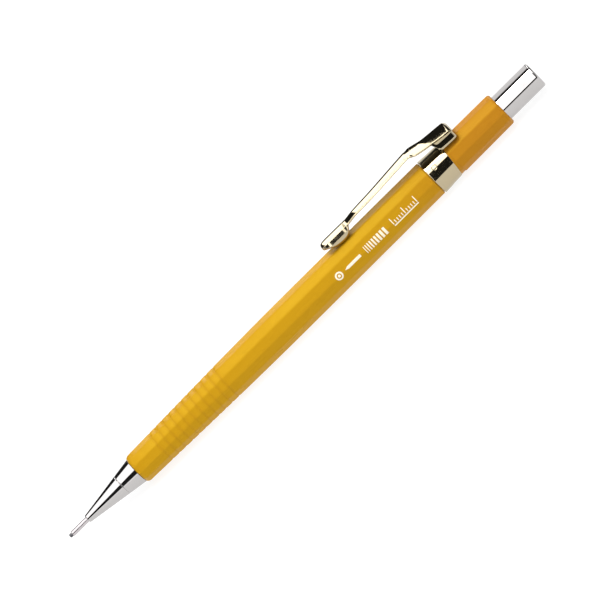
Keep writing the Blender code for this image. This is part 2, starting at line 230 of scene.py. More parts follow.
def blend_colours(material, factor, first, second):
    mix = add_node(material, "ShaderNodeMix", {"data_type": "RGBA"})
    links = material.node_tree.links
    for socket, value in (("Factor_Float", factor), ("A_Color", first), ("B_Color", second)):
        target = next(item for item in mix.inputs if item.identifier == socket)
        if isinstance(value, bpy.types.NodeSocket):
            links.new(value, target)
        else:
            target.default_value = value if socket == "Factor_Float" else (*value, 1)
    return next(item for item in mix.outputs if item.identifier == "Result_Color")


def add_values(material, first, second, operation="ADD"):
    node = add_node(material, "ShaderNodeMath", {"operation": operation})
    for target, value in zip(node.inputs, (first, second)):
        if isinstance(value, bpy.types.NodeSocket):
            material.node_tree.links.new(value, target)
        else:
            target.default_value = value
    return node.outputs["Value"]


def drive(material, socket, value):
    shader = material.node_tree.nodes["Principled BSDF"]
    material.node_tree.links.new(value, shader.inputs[socket])


def bump(material, height, distance, strength=1.0):
    node = add_node(material, "ShaderNodeBump", Strength=strength, Distance=distance, Height=height)
    drive(material, "Normal", node.outputs["Normal"])


def attribute(material, name):
    return add_node(material, "ShaderNodeAttribute", {"attribute_name": name}).outputs["Fac"]


# ------------------------------------------------------------------ materials


def body_plastic():
    """Yellow moulded plastic: slight flow marks, a fine skin and corners polished by use, with
    painted shade in the grip grooves and a darker, more orange painted shade behind the band.
    """
    material = new_material(
        "body_plastic", (0.41, 0.21, 0.011), 0.27, Specular_Tint=(1.0, 0.88, 0.05, 1.0), IOR=1.3,
    )
    base = (0.54, 0.285, 0.009)
    # Darker, more orange colour: painted shade behind the band, and also the colour of the flow
    # marks.
    rear = (0.46, 0.178, 0.014)
    polished = (0.56, 0.30, 0.010)
    # Colour of the painted shade in the grip grooves.
    groove_shade = (0.40, 0.185, 0.012)
    # Painted shade: the barrel darkens and turns more orange behind the band.
    tone = blend_colours(material, attribute(material, "rear_painted_shade"), base, rear)
    flow = noise_value(material, 45, 3, (0.35, 1, 1))
    tone = blend_colours(material, remap(material, flow, 0.0, 0.14), tone, rear)
    tone = blend_colours(material, attribute(material, "corner_wear"), tone, polished)
    # Painted shade in the grip grooves, made patchy by the flow noise.
    uneven = remap(material, flow, 0.6, 1.0)
    groove = add_values(material, attribute(material, "groove"), uneven, "MULTIPLY")
    tone = blend_colours(material, groove, tone, groove_shade)
    drive(material, "Base Color", tone)
    handled = noise_value(material, 160, 5, (0.5, 1, 1))
    scratches = noise_value(material, 900, 2, (0.06, 1, 1))
    gloss = remap(material, handled, 0.22, 0.33)
    drive(material, "Roughness", add_values(material, gloss, remap(material, scratches, -0.01, 0.02)))
    skin_noise = noise_value(material, 2600, 3)
    bump(material, add_values(material, skin_noise, scratches), 0.000003)
    return material


def plated(name, colour, roughness, grain=(0.15, 1, 1)):
    """Bright plating with faint polishing lines and smudges."""
    material = new_material(name, colour, roughness, 1.0)
    smudge = noise_value(material, 240, 4)
    lines = noise_value(material, 1800, 2, grain)
    drive(material, "Roughness", remap(material, smudge, roughness * 0.6, roughness * 1.9))
    tint = remap(material, smudge, 0.0, 0.3)
    dulled = tuple(channel * 0.9 for channel in colour)
    drive(material, "Base Color", blend_colours(material, tint, colour, dulled))
    bump(material, lines, 0.0000012)
    return material


def turned_brass():
    material = new_material("brass", (0.78, 0.56, 0.24), 0.25, 1.0)
    rings = add_node(
        material, "ShaderNodeTexWave", {"wave_type": "BANDS", "bands_direction": "X"},
        Vector=stretched(material, (1, 1, 1)), Scale=1500.0, Distortion=1.5, Detail=2.0,
    ).outputs["Fac"]
    stain = noise_value(material, 500, 5)
    stained = remap(material, stain, 0, 0.6)
    colour = blend_colours(material, stained, (0.80, 0.58, 0.26), (0.52, 0.34, 0.14))
    drive(material, "Base Color", colour)
    drive(material, "Roughness", remap(material, stain, 0.18, 0.38))
    bump(material, rings, 0.000004)
    return material


def drawn_steel(name, colour, roughness):
    material = new_material(name, colour, roughness, 1.0)
    lines = noise_value(material, 2200, 3, (0.05, 1, 1))
    drive(material, "Roughness", remap(material, lines, roughness * 0.7, roughness * 1.5))
    dulled = tuple(channel * 0.8 for channel in colour)
    drive(material, "Base Color", blend_colours(material, lines, colour, dulled))
    bump(material, lines, 0.000002)
    return material


def moulded(name, colour, shade, roughness, grain, depth, **inputs):
    """A moulded plastic, rubber or vinyl with mottled colour and a grained skin."""
    material = new_material(name, colour, roughness, **inputs)
    mottle = noise_value(material, 320, 4)
    mixed = blend_colours(material, remap(material, mottle, 0, 1), colour, shade)
    drive(material, "Base Color", mixed)
    rough = remap(material, mottle, roughness * 0.85, min(1.0, roughness * 1.2))
    drive(material, "Roughness", rough)
    bump(material, noise_value(material, grain, 4), depth)
    return material


def eraser_vinyl():
    """White vinyl, greyed by graphite where the end has been rubbed."""
    material = new_material("eraser_vinyl", (0.86, 0.85, 0.81), 0.7)
    smear = noise_value(material, 700, 6, (0.6, 1, 1))
    patchy = remap(material, smear, 0.1, 1.0)
    worn = add_values(material, attribute(material, "rubbed"), patchy, "MULTIPLY")
    colour = blend_colours(material, worn, (0.87, 0.86, 0.82), (0.42, 0.42, 0.43))
    drive(material, "Base Color", colour)
    drive(material, "Roughness", remap(material, smear, 0.6, 0.85))
    bump(material, noise_value(material, 2400, 5), 0.00003)
    return material


def graphite():
    material = new_material("graphite", (0.045, 0.045, 0.05), 0.42, Specular_IOR_Level=0.6)
    streaks = noise_value(material, 2500, 4, (0.08, 1, 1))
    colour = blend_colours(material, streaks, (0.03, 0.03, 0.034), (0.10, 0.10, 0.11))
    drive(material, "Base Color", colour)
    drive(material, "Roughness", remap(material, streaks, 0.32, 0.55))
    bump(material, streaks, 0.000006)
    return material


def print_ink():
    material = new_material("print_ink", (0.93, 0.88, 0.72), 0.45)
    patch = noise_value(material, 1600, 4)
    thin = remap(material, patch, 0, 0.35)
    colour = blend_colours(material, thin, (0.95, 0.91, 0.77), (0.86, 0.68, 0.32))
    drive(material, "Base Color", colour)
    drive(material, "Roughness", remap(material, patch, 0.4, 0.55))
    return material


MATERIALS = {
    "body": body_plastic(),
    "chrome": plated("chrome", (0.50, 0.485, 0.48), 0.035),
    "clip": plated("clip_plating", (0.47, 0.40, 0.265), 0.045),
    # Near-black sheet under the clip root: painted shade inside the fold.
    "shade_sheet": drawn_steel("clip_shade_sheet", (0.10, 0.09, 0.07), 0.4),
    "pipe": drawn_steel("pipe_steel", (0.58, 0.54, 0.55), 0.22),
    "spring": drawn_steel("spring_steel", (0.62, 0.62, 0.63), 0.25),
    "brass": turned_brass(),
    "rubber": moulded(
        "retainer_rubber", (0.03, 0.03, 0.032), (0.055, 0.055, 0.055), 0.75, 2500, 0.00001,
    ),
    "dark": moulded("dark_plastic", (0.035, 0.035, 0.04), (0.06, 0.06, 0.065), 0.5, 2200, 0.000006),
    "tube": moulded(
        "tube_plastic", (0.83, 0.81, 0.74), (0.74, 0.71, 0.62), 0.4, 1800, 0.000006,
        Subsurface_Weight=0.25, Subsurface_Scale=0.0006,
    ),
    "graphite": graphite(),
    "eraser": eraser_vinyl(),
    "ink": print_ink(),
}


# --------------------------------------------------------------------- barrel

BARREL_FRONT, BARREL_REAR = span("barrel")
BAND_FRONT, BAND_TAB_REAR = span("clip_band")
CAP_FRONT, CAP_REAR = span("push_cap")
CONE_FRONT, CONE_REAR = span("tip_cone")

GROOVE_COUNT = 11
GROOVE_FIRST = 29.0
GROOVE_PITCH = 2.05
GROOVE_HALF_WIDTH = 0.5
GROOVE_DEPTH = 0.09
NECK_FRONT = 114.1
NECK_REAR = 120.85
NECK_RADIUS = 4.25
THREAD_PITCH = 0.75
THREAD_REAR = 26.9

BODY_TAPER = (
    (BARREL_FRONT + 0.85, 3.8), (28.0, 3.93), (33.5, 4.06), (44.7, 4.29), (56.0, 4.47),
    (67.0, 4.565), (80.0, 4.575), (90.0, 4.575), (NECK_FRONT, 4.53),
)
# Angles from the middle of a facet to its corner, close together where the corner is round
FACET_ANGLES = (-14.1, -13.2, -12.3, -11.6, -10.8, 0.0, 10.8, 11.6, 12.3, 13.2, 14.1, 15.0)


def facet_radius(apothem, angle):
    """Distance from the axis to the twelve-sided outline with rounded corners."""
    half = math.pi / SIDES
    fillet = apothem * CORNER_SHARE
    turned = abs((angle + half) % (2 * half) - half)
    if math.tan(turned) * apothem <= (apothem - fillet) * math.tan(half):
        return apothem / math.cos(turned)
    centre = (apothem - fillet) / math.cos(half)
    away = half - turned
    return centre * math.cos(away) + math.sqrt(fillet ** 2 - (centre * math.sin(away)) ** 2)


def ring_angles():
    return [math.radians(30 * facet + angle) for facet in range(SIDES) for angle in FACET_ANGLES]


def body_ring(station, apothem, faceted=True):
    points = []
    for angle in ring_angles():
        radius = facet_radius(apothem, angle) if faceted else apothem
        points.append(place(station, math.sin(angle) * radius, math.cos(angle) * radius))
    return points


def groove_depth(station):
    """Depth of the rounded grip grooves at a station."""
    nearest = round((station - GROOVE_FIRST) / GROOVE_PITCH)
    nearest = min(max(nearest, 0), GROOVE_COUNT - 1)
    away = abs(station - GROOVE_FIRST - nearest * GROOVE_PITCH) / GROOVE_HALF_WIDTH
    return GROOVE_DEPTH * (0.5 + 0.5 * math.cos(math.pi * min(away, 1.0)))


def body_stations():
    stations = [BARREL_FRONT + 0.85, 24.5, 26.5]
    for groove in range(GROOVE_COUNT):
        middle = GROOVE_FIRST + groove * GROOVE_PITCH
        for step in range(-4, 5):
            stations.append(middle + step / 4 * GROOVE_HALF_WIDTH)
    stations += [51.5, 53.5, 56.0, 59.0, 62.0, 65.0, 68.0, 72.0, 80.0, 90.0, 102.0]
    stations.append(NECK_FRONT - 0.3)
    return stations


def barrel_rings():
    nose = ((0.0, 3.36), (0.08, 3.47), (0.25, 3.6), (0.5, 3.72))
    rings = [body_ring(BARREL_FRONT + behind, apothem) for behind, apothem in nose]
    for station in body_stations():
        rings.append(body_ring(station, curve_through(BODY_TAPER, station) - groove_depth(station)))
    rings += [body_ring(NECK_FRONT - 0.08, 4.515), body_ring(NECK_FRONT, 4.44)]
    rings += [body_ring(NECK_FRONT, NECK_RADIUS, False), body_ring(NECK_REAR, NECK_RADIUS, False)]
    tail = [(NECK_REAR, 4.30), (NECK_REAR + 0.08, 4.35), (NECK_REAR + 0.3, 4.365)]
    tail += [(128.0, 4.32), (134.8, 4.275)]
    rings += [body_ring(station, apothem) for station, apothem in tail]
    edge = 0.62
    for station, apothem in arc(BARREL_REAR - edge, 4.255 - edge, edge, 90, 12, 6):
        rings.append(body_ring(station, apothem))
    return rings


def bore_rings():
    """The bore from the rear mouth to the front, with a thread for the tip cone."""
    profile = [(BARREL_REAR - 0.02, 3.68), (BARREL_REAR - 0.2, 3.6), (118.0, 3.6), (117.0, 2.45)]
    profile += [(27.35, 2.45), (27.35, 2.85)]
    turns = int((THREAD_REAR - BARREL_FRONT - 0.4) / THREAD_PITCH)
    for turn in range(turns):
        start = THREAD_REAR - turn * THREAD_PITCH
        for offset, radius in ((0.0, 2.85), (0.3, 2.97), (0.45, 2.97)):
            profile.append((start - offset, radius))
    profile += [(BARREL_FRONT + 0.25, 2.86), (BARREL_FRONT, 3.0)]
    return [body_ring(station, radius, False) for station, radius in profile]


def barrel_attributes(piece):
    """Wear on the corners, painted shade in the grooves and painted shade behind the band, where the
    barrel is darker and more orange.
    """
    mesh = piece.data
    names = ("corner_wear", "groove", "rear_painted_shade")
    layers = {name: mesh.attributes.new(name, "FLOAT", "POINT") for name in names}
    for index, vert in enumerate(mesh.vertices):
        station = (vert.co.x - TIP_X) / MM
        angle = math.degrees(math.atan2(vert.co.y, vert.co.z - AXIS_Z))
        corner = abs((angle + 15) % 30 - 15)
        rubbed = 0.35 + 0.65 * noise.noise(vert.co * 90)
        held = 1.0 if station < 60 else 0.5
        wear = max(0.0, (corner - 11.5) / 3.5) * 0.28 * held * max(0.2, rubbed)
        layers["corner_wear"].data[index].value = wear
        # groove: painted shade in the grip grooves, deepest at the middle of each groove.
        layers["groove"].data[index].value = groove_depth(station) / GROOVE_DEPTH * 0.35
        # Painted shade behind the band, growing towards the rear.
        layers["rear_painted_shade"].data[index].value = min(1.0, max(0.0, (station - 108) / 14)) * 0.8


def make_barrel():
    builder = skin(barrel_rings() + bore_rings(), closed=True)
    piece = finish_mesh("barrel_shell", builder, MATERIALS["body"], "body", ["barrel"])
    barrel_attributes(piece)


# ---------------------------------------------------- printing on the barrel

VIEW_ANGLE = math.radians(-60)
INK_LIFT = 0.012
INK_DEPTH = 0.05
RING_SIDES = 32


def wrap_on_barrel(builder):
    """Bend a flat drawing (x = station, y = distance round the barrel) on to its facets."""
    for level in range(-14, 15):
        bmesh.ops.bisect_plane(
            builder, geom=builder.verts[:] + builder.edges[:] + builder.faces[:],
            plane_co=(0, level * 0.2, 0), plane_no=(0, 1, 0), dist=1e-5,
        )
    for vert in builder.verts:
        station, along = vert.co.x, vert.co.y
        apothem = curve_through(BODY_TAPER, station)
        angle = VIEW_ANGLE + math.asin(max(-0.95, min(0.95, along / apothem)))
        radius = facet_radius(apothem, angle) + INK_LIFT + vert.co.z
        vert.co = place(station, math.sin(angle) * radius, math.cos(angle) * radius)


def ink_piece(name, flat):
    """Give a flat drawing its thickness, wrap it and finish it as printing."""
    bmesh.ops.triangulate(flat, faces=flat.faces)
    layer = bmesh.ops.extrude_face_region(flat, geom=flat.faces[:])
    for item in layer["geom"]:
        if isinstance(item, bmesh.types.BMVert):
            item.co.z -= INK_DEPTH
    wrap_on_barrel(flat)
    return finish_mesh(name, flat, MATERIALS["ink"], "body", sharp=40)


def flat_circle(flat, middle, radius):
    turns = [math.tau * step / RING_SIDES for step in range(RING_SIDES)]
    x, y = middle
    points = [(x + radius * math.cos(turn), y + radius * math.sin(turn), 0) for turn in turns]
    return [flat.verts.new(point) for point in points]


def flat_ring(flat, middle, outer, inner):
    rim, hole = flat_circle(flat, middle, outer), flat_circle(flat, middle, inner)
    for step in range(RING_SIDES):
        after = (step + 1) % RING_SIDES
        flat.faces.new((rim[step], rim[after], hole[after], hole[step]))


def flat_bar(flat, low_x, high_x, low_y, high_y):
    corners = ((low_x, low_y), (high_x, low_y), (high_x, high_y), (low_x, high_y))
    flat.faces.new([flat.verts.new((x, y, 0)) for x, y in corners])


def make_printing():
    """Plain patterns with no lettering: a lead's end and side, line widths and a stepped rule."""
    lead_end = bmesh.new()
    middle = (84.45, -1.07)
    flat_ring(lead_end, middle, 0.98, 0.6)
    lead_end.faces.new(flat_circle(lead_end, middle, 0.32))
    ink_piece("lead_mark_end", lead_end)
    lead_side = bmesh.new()
    outline = ((86.3, -1.07), (87.2, -1.4), (91.1, -1.4), (91.1, -0.74), (87.2, -0.74))
    lead_side.faces.new([lead_side.verts.new((x, y, 0)) for x, y in outline])
    ink_piece("lead_mark_side", lead_side)
    gauge = bmesh.new()
    at = 92.6
    for step in range(9):
        width = 0.16 + 0.06 * step
        flat_bar(gauge, at, at + width, -2.0, -0.15)
        at += width + 0.36
    ink_piece("line_width_gauge", gauge)
    rule = bmesh.new()
    flat_bar(rule, 101.1, 108.5, -2.0, -1.72)
    for step in range(11):
        tall = 0.15 if step % 5 == 0 else -0.75
        flat_bar(rule, 101.1 + step * 0.72, 101.3 + step * 0.72, -1.55, tall)
    ink_piece("stepped_rule", rule)


def turned_piece(name, outline, material, body, node, sides=ROUND, sharp=32):
    """A piece spun about the pencil's axis, in place of one CAD node."""
    return finish_mesh(
        name, lathe(outline, sides), MATERIALS[material], body, [node], sharp=sharp,
    )


# ------------------------------------------------------------------ tip parts

LEAD_RADIUS = 0.45


def make_tip():
    seam = 16.65
    base = 21.2
    run = seam - 0.28 - CONE_FRONT
    slope = 1.61 / run
    cone = [(CONE_FRONT, 0.72), (CONE_FRONT, 0.86), (CONE_FRONT + 0.04, 0.93)]
    cone.append((CONE_FRONT + 0.13, 0.985))
    for at in (0.18, 0.3, 1.5, 4.0, 7.0, 10.0, run, seam - 0.12 - CONE_FRONT):
        cone.append((CONE_FRONT + at, 1.01 + slope * (at - 0.18)))
    cone += [(seam - 0.07, 2.60), (seam, 2.55), (seam + 0.06, 2.63), (seam + 0.12, 2.655)]
    cone.append((seam + 0.3, 2.68))
    for share in (0.3, 0.6, 0.9, 1.0):
        cone.append((seam + 0.3 + (base - 0.3 - seam) * share, 2.68 + 0.62 * share))
    cone += [(base + 0.05, 3.27), (base + 0.06, 2.55)]
    at = base + 0.35
    while at + THREAD_PITCH < CONE_REAR:
        cone += [(at, 2.55), (at + 0.28, 2.72), (at + 0.4, 2.72), (at + 0.66, 2.55)]
        at += THREAD_PITCH
    cone += [(CONE_REAR - 0.15, 2.5), (CONE_REAR, 2.42), (CONE_REAR, 2.25), (17.05, 2.25)]
    cone += [(16.6, 1.78), (13.7, 1.78), (13.5, 1.32), (10.95, 1.32), (10.95, 0.72)]
    turned_piece("tip_cone_shell", cone, "chrome", "tip", "tip_cone", sharp=24)
    front, rear = span("lead_sleeve")
    pipe = arc(front + 0.07, 0.59, 0.065, 90, 180, 4)[::-1]
    pipe += [(rear, 0.655), (rear, 0.53), (front + 0.05, 0.53), (front, 0.55)]
    turned_piece("lead_pipe", pipe, "pipe", "tip", "lead_sleeve", 64)
    front, rear = span("lead_retainer")
    rubber = [(front, 0.5), (front, 1.18), (front + 0.07, 1.25), (rear - 0.2, 1.25)]
    rubber += arc(rear - 0.15, 1.05, 0.15, 80, 0, 4)
    rubber += [(rear, 0.75), (rear - 0.4, 0.55), (rear - 0.8, 0.5)]
    turned_piece("retainer_ring", rubber, "rubber", "tip", "lead_retainer", 48)


def lead_stick(name, node, side, height, worn, body):
    """A round lead whose front end is worn back by a length."""
    front, rear = span(node)
    radius = LEAD_RADIUS
    outline = [(front, 0.0), (front + worn * 0.25, radius * 0.62), (front + worn, radius * 0.95)]
    outline += [(front + worn + 0.03, radius), (rear - 0.05, radius), (rear, radius - 0.05)]
    outline.append((rear, 0.0))
    builder = lathe(outline, 40, side, height)
    finish_mesh(name, builder, MATERIALS["graphite"], body, [node])


def make_leads():
    lead_stick("lead_in_use", "writing_lead", 0.0, 0.0, 0.12, "lead")
    for number in (1, 2, 3):
        node = f"spare_lead_{number}"
        low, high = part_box(node)
        side = (low.y + high.y) / 2 / MM
        height = ((low.z + high.z) / 2 - AXIS_Z) / MM
        lead_stick(f"spare_stick_{number}", node, side, height, 0.04, "spares")


# --------------------------------------------------------------- the mechanism


def make_jaws():
    """Three thirds of the split brass collet, chamfered at the mouth and behind the head."""
    profile = [
        (16.4, 0.95, 0.62), (16.48, 1.08, 0.56), (16.7, 1.35, 0.5), (17.0, 1.35, 0.5),
        (17.06, 1.31, 0.5), (17.2, 1.31, 0.5), (17.26, 1.35, 0.5), (19.2, 1.35, 0.5),
        (20.2, 1.0, 0.5), (24.0, 1.0, 0.5), (24.1, 0.95, 0.52),
    ]
    slit = 0.16
    steps = 14
    for index in range(3):
        middle = math.tau * index / 3
        rings = []
        for station, outer, inner in profile:
            loop = []
            for radius, order in ((outer, range(steps + 1)), (inner, range(steps, -1, -1))):
                half = math.pi / 3 - math.asin(slit / 2 / radius)
                for step in order:
                    angle = middle + (step / steps * 2 - 1) * half
                    loop.append(place(station, math.sin(angle) * radius, math.cos(angle) * radius))
            rings.append(loop)
        number = index + 1
        finish_mesh(
            f"collet_jaw_{number}", skin(rings, False), MATERIALS["brass"],
            f"jaw_{number}", [f"chuck_jaw_{number}"], sharp=25,
        )


def make_chuck():
    stem = [(24.2, 0.56), (24.2, 0.93), (24.27, 1.0), (25.0, 1.0), (25.06, 0.95), (25.3, 0.95)]
    stem += [(25.36, 1.0), (35.93, 1.0), (36.0, 0.93), (36.0, 0.56)]
    turned_piece("collet_stem", stem, "brass", "mechanism", "chuck_stem", 48)
    front, rear = span("clutch_ring")
    ring = [(front, 1.56), (front, 1.9), (front + 0.06, 1.99), (front + 0.15, 2.05)]
    ring += [(front + 1.2, 2.05), (front + 1.25, 1.99), (front + 1.4, 1.99), (front + 1.45, 2.05)]
    ring += [(rear - 0.08, 2.05), (rear, 1.97), (rear, 1.32), (front + 1.8, 1.56)]
    turned_piece("clutch_collar", ring, "brass", "clutch", "clutch_ring", 64)


def make_spring():
    """Steel wire wound round the stem, flattened by the push."""
    front, rear = span("return_spring")
    wire, coil, turns, around = 0.18, 1.4, 7.5, 10
    steps = int(turns * 28)
    rings = []
    for step in range(steps + 1):
        turn = step / steps * turns * math.tau
        centre = Vector((0, math.sin(turn) * coil, math.cos(turn) * coil))
        station = front + wire + (rear - front - 2 * wire) * step / steps
        outward = centre.normalized()
        loop = []
        for index in range(around):
            angle = index / around * math.tau
            out = math.cos(angle) * wire
            side, height = centre.y + outward.y * out, centre.z + outward.z * out
            loop.append(place(station + math.sin(angle) * wire, side, height))
        rings.append(loop)
    piece = finish_mesh(
        "spring_coil", skin(rings, False), MATERIALS["spring"],
        "body", ["return_spring"],
    )
    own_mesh(piece)


def make_sleeve_and_tube():
    sleeve = [(20.95, 1.2), (20.95, 1.97), (21.03, 2.05), (26.15, 2.05), (26.15, 2.62)]
    sleeve += [(26.22, 2.7), (27.13, 2.7), (27.2, 2.62), (27.2, 2.1), (34.1, 2.1)]
    sleeve += [(34.2, 2.0), (34.2, 1.75), (22.3, 1.75), (22.3, 1.2)]
    turned_piece("spring_housing", sleeve, "dark", "body", "spring_sleeve", 64)
    coupler = [(33.8, 1.08), (33.8, 1.54), (33.87, 1.6), (37.0, 1.6), (37.0, 1.89), (37.06, 1.95)]
    coupler += [(37.54, 1.95), (37.6, 1.89), (37.6, 1.28), (40.9, 1.28), (41.0, 1.18)]
    coupler += [(41.0, 1.08), (38.5, 0.6), (36.1, 0.6), (36.1, 1.08)]
    turned_piece("coupler_body", coupler, "dark", "mechanism", "tube_coupler", 48)
    front, rear = span("lead_tube")
    tube = [(front, 1.37), (front, 1.88), (front + 0.07, 1.95), (126.5, 1.95)]
    tube += [(127.2, 2.25), (127.9, 2.7), (128.05, 2.75), (131.0, 2.75), (131.06, 2.69)]
    tube += [(131.3, 2.69), (131.36, 2.75)]
    tube += arc(rear - 0.25, 2.5, 0.25, 90, 0, 5) + [(rear, 2.25), (rear - 0.12, 2.16)]
    tube += [(129.85, 2.16), (129.85, 1.37)]
    turned_piece("lead_reservoir", tube, "tube", "mechanism", "lead_tube", 72)


def make_eraser():
    front, rear = span("eraser")
    radius = 2.05
    pin_front = span("cleaning_pin")[0]
    profile = [(134.1, 0.0), (134.1, 0.32), (front, 0.32), (front, radius - 0.12)]
    profile.append((front + 0.12, radius))
    for step in range(1, 13):
        profile.append((front + 0.12 + (rear - 0.65 - front) * step / 12, radius))
    profile += arc(rear - 0.5, radius - 0.5, 0.5, 80, 20, 6)
    profile += [(rear - 0.01, 1.1), (rear, 0.55), (rear, 0.0)]
    builder = lathe(profile, 56)
    for vert in builder.verts:
        station = (vert.co.x - TIP_X) / MM
        if station > rear - 1.6:
            rub = noise.noise(vert.co * 1400) * 0.05 + noise.noise(vert.co * 500) * 0.05
            vert.co.x -= abs(rub) * MM
    vinyl = MATERIALS["eraser"]
    piece = finish_mesh("eraser_plug", builder, vinyl, "eraser", ["eraser"])
    rubbed = piece.data.attributes.new("rubbed", "FLOAT", "POINT")
    for index, vert in enumerate(piece.data.vertices):
        station = (vert.co.x - TIP_X) / MM
        rubbed.data[index].value = max(0.0, min(1.0, (station - rear + 1.3) / 1.2)) * 0.75
    pin = [(pin_front, 0.0), (pin_front + 0.05, 0.14), (pin_front + 0.2, 0.24)]
    pin += [(pin_front + 0.35, 0.28), (134.0, 0.28), (134.0, 0.0)]
    turned_piece("clearing_wire", pin, "pipe", "eraser", "cleaning_pin", 32)


def make_cap():
    """The drawn metal cap, with a rolled lip and a softly rounded end."""
    outer = 3.3
    edge = 0.5
    cap = [(CAP_FRONT, 2.95), (CAP_FRONT + 0.02, 3.2), (CAP_FRONT + 0.1, 3.28)]
    cap.append((CAP_FRONT + 0.25, outer))
    for share in (0.25, 0.5, 0.75):
        cap.append((CAP_FRONT + (CAP_REAR - CAP_FRONT) * share, outer))
    cap += [(CAP_REAR - edge - 0.25, outer), (CAP_REAR - edge - 0.08, outer)]
    cap += arc(CAP_REAR - edge, outer - edge, edge, 90, 0, 9)
    cap += [(CAP_REAR, 2.6), (CAP_REAR, 0.0), (CAP_REAR - 0.5, 0.0), (CAP_REAR - 0.5, 2.6)]
    cap.append((CAP_REAR - 0.8, 2.92))
    turned_piece("button_cap", cap, "chrome", "cap", "push_cap", 128, sharp=40)


# ------------------------------------------------------------------- the clip

BAND_RADIUS = 4.68
BAND_WALL = 0.41
BAND_TAPER = 0.27
BAND_REAR_TOP = 120.6
BAND_REAR_BOTTOM = 119.5
MARK_STATION = 116.4
MARK_RADIUS = 0.62
MARK_ELEVATION = 45.0


def make_band():
    """A rolled band with eased edges, a slanted rear edge, and its spring tab on top."""
    inner = BAND_RADIUS - BAND_WALL
    ease = 0.09
    outline = [(BAND_FRONT, inner)]
    outline += arc(BAND_FRONT + ease, BAND_RADIUS - ease, ease, 180, 90, 4)
    run = BAND_REAR_TOP - BAND_FRONT
    for share in (0.03, 0.05, 0.3, 0.6, 0.9, 0.94, 0.96):
        outline.append((BAND_FRONT + run * share, BAND_RADIUS - BAND_TAPER * share))
    outline += arc(BAND_REAR_TOP - ease, BAND_RADIUS - BAND_TAPER - ease, ease, 90, 0, 4)
    outline.append((BAND_REAR_TOP, inner))
    ring = lathe(outline, 120)
    middle = place((BAND_FRONT + BAND_REAR_TOP) / 2).x
    for vert in ring.verts:
        if vert.co.x > middle:
            drop = (1 - (vert.co.z - AXIS_Z) / MM / BAND_RADIUS) / 2
            vert.co.x -= drop * (BAND_REAR_TOP - BAND_REAR_BOTTOM) * MM
    finish_mesh("band_ring", ring, MATERIALS["clip"], "band", ["clip_band"])
    mark = []
    for step in range(32):
        around = math.tau * step / 32
        loop = []
        for out, lift in ((-0.11, -0.04), (-0.07, 0.03), (0.0, 0.06), (0.07, 0.03), (0.11, -0.04)):
            reach = MARK_RADIUS + out
            station = MARK_STATION + reach * math.cos(around)
            face = BAND_RADIUS - BAND_TAPER * (station - BAND_FRONT) / run + lift
            angle = math.radians(MARK_ELEVATION) + reach * math.sin(around) / BAND_RADIUS
            loop.append(place(station, -math.cos(angle) * face, math.sin(angle) * face))
        mark.append(loop)
    finish_mesh("band_mark", skin(mark, True), MATERIALS["clip"], "band")
    rings = []
    half, bottom, top, ease = 1.7, 4.52, 4.92, 0.08
    tab = [(119.9, 0.0), (122.0, 0.0), (BAND_TAB_REAR - 0.25, 0.0)]
    tab += [(BAND_TAB_REAR - 0.06, 0.12), (BAND_TAB_REAR, 0.3)]
    for station, shrink in tab:
        wide = half - shrink
        shape = [(-wide, bottom + ease), (-wide, top - ease), (-wide + ease, top), (wide - ease, top)]
        shape += [(wide, top - ease), (wide, bottom + ease)]
        shape += [(wide - ease, bottom), (-wide + ease, bottom)]
        rings.append([place(station, side, height) for side, height in shape])
    finish_mesh("band_tab", skin(rings, False), MATERIALS["clip"], "band")


# Shape of the clip arm along its length: each line is (station, value) knots
CLIP_WIDTH = (
    (85.9, 0.8), (86.0, 1.3), (86.25, 1.85), (86.7, 2.3), (87.3, 2.55), (88.2, 2.62),
    (92.0, 2.6), (94.0, 2.52), (96.5, 2.55), (99.0, 2.68), (106.0, 2.92), (112.6, 3.12),
    (113.8, 3.17), (114.2, 3.4), (114.8, 4.2), (115.1, 4.55), (115.7, 4.7), (118.3, 4.5),
    (121.0, 4.65), (123.5, 4.9), (124.6, 4.85), (124.9, 4.6), (125.1, 4.2),
)
CLIP_TOP = (
    (85.9, 7.0), (86.0, 7.22), (86.2, 7.38), (86.6, 7.46), (87.4, 7.48), (92.6, 7.46),
    (93.5, 7.44), (94.1, 7.49), (96.5, 7.83), (97.4, 7.89), (99.0, 7.94), (102.0, 8.07),
    (106.0, 8.34), (110.0, 8.64), (112.6, 8.82), (113.6, 8.88), (113.64, 8.87), (115.1, 8.51),
    (115.14, 8.50), (117.0, 8.04), (118.0, 7.79), (119.0, 7.61), (120.0, 7.47), (121.6, 7.27),
    (123.5, 7.02), (124.3, 6.92), (124.34, 6.90), (124.7, 6.62), (124.95, 6.33), (125.06, 6.1),
    (125.1, 5.9),
)
CLIP_BASE = (
    (85.9, 6.5), (86.3, 6.45), (87.0, 6.2), (87.8, 5.8), (88.5, 5.35), (89.2, 5.05),
    (90.0, 4.9), (91.0, 4.84), (91.7, 4.88), (92.3, 5.15), (92.9, 5.65), (93.4, 6.3),
    (93.8, 6.85),
)
FLANGE_BASE = (
    (119.4, 6.9), (119.7, 6.3), (120.0, 5.5), (120.3, 4.95), (120.7, 4.72), (124.9, 4.62),
    (125.1, 4.75),
)
CLIP_CROWN = (
    (86.0, 0.12), (93.0, 0.13), (96.0, 0.15), (112.0, 0.15), (115.5, 0.2), (118.0, 0.22),
    (125.1, 0.2),
)
SHEET = 0.42
BOAT_REAR = 93.9
FLANGE_FRONT = 119.4
END_WALL = 124.58
FOLDS = (113.6, 113.64, 115.1, 115.14, 124.3, 124.34)


def rounded_edge(half, level, radius, start, steps=5):
    """Points that turn the top sheet over into a side wall."""
    points = []
    for step in range(1, steps + 1):
        angle = start + (math.pi / 2 - 0.28 - start) * step / steps
        across = half - radius + math.sin(angle) * radius
        points.append((across, level - radius + math.cos(angle) * radius))
    return points


